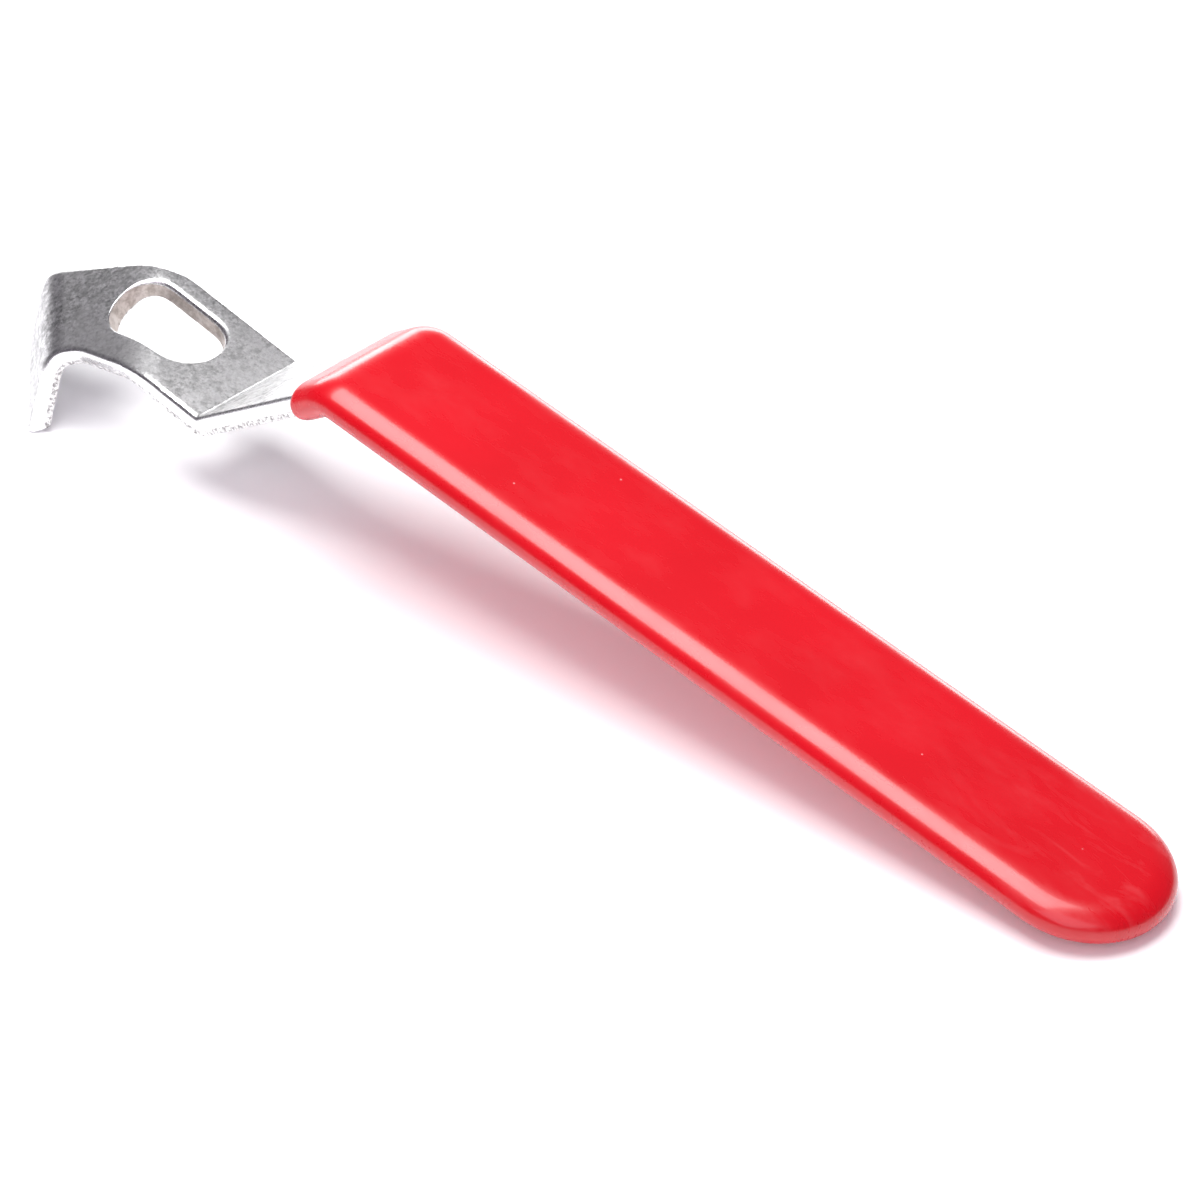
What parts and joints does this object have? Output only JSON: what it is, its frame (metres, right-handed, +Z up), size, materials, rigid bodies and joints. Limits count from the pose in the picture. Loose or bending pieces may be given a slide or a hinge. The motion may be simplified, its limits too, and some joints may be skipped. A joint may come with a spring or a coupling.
{
  "type": "manual can opener",
  "caption": "Lever can and pail opener: a bent flat steel bar with a hook and a slotted head, and a dipped vinyl grip.",
  "frame": {"origin": "centre of the footprint, on the surface that the opener stands on", "axes": "+X from the head towards the grip's end, +Z up, at rest on the hook's foot and on the grip's end"},
  "size_m": [0.2478, 0.032, 0.037],
  "materials": {
    "galvanised_steel": "dull mottled zinc grey on the broad faces, bright sheared edges",
    "red_vinyl": "smooth glossy dipped vinyl"
  },
  "bodies": {
    "root": {"steel_blade": "galvanised_steel", "vinyl_grip": "red_vinyl"}
  },
  "joints": []
}
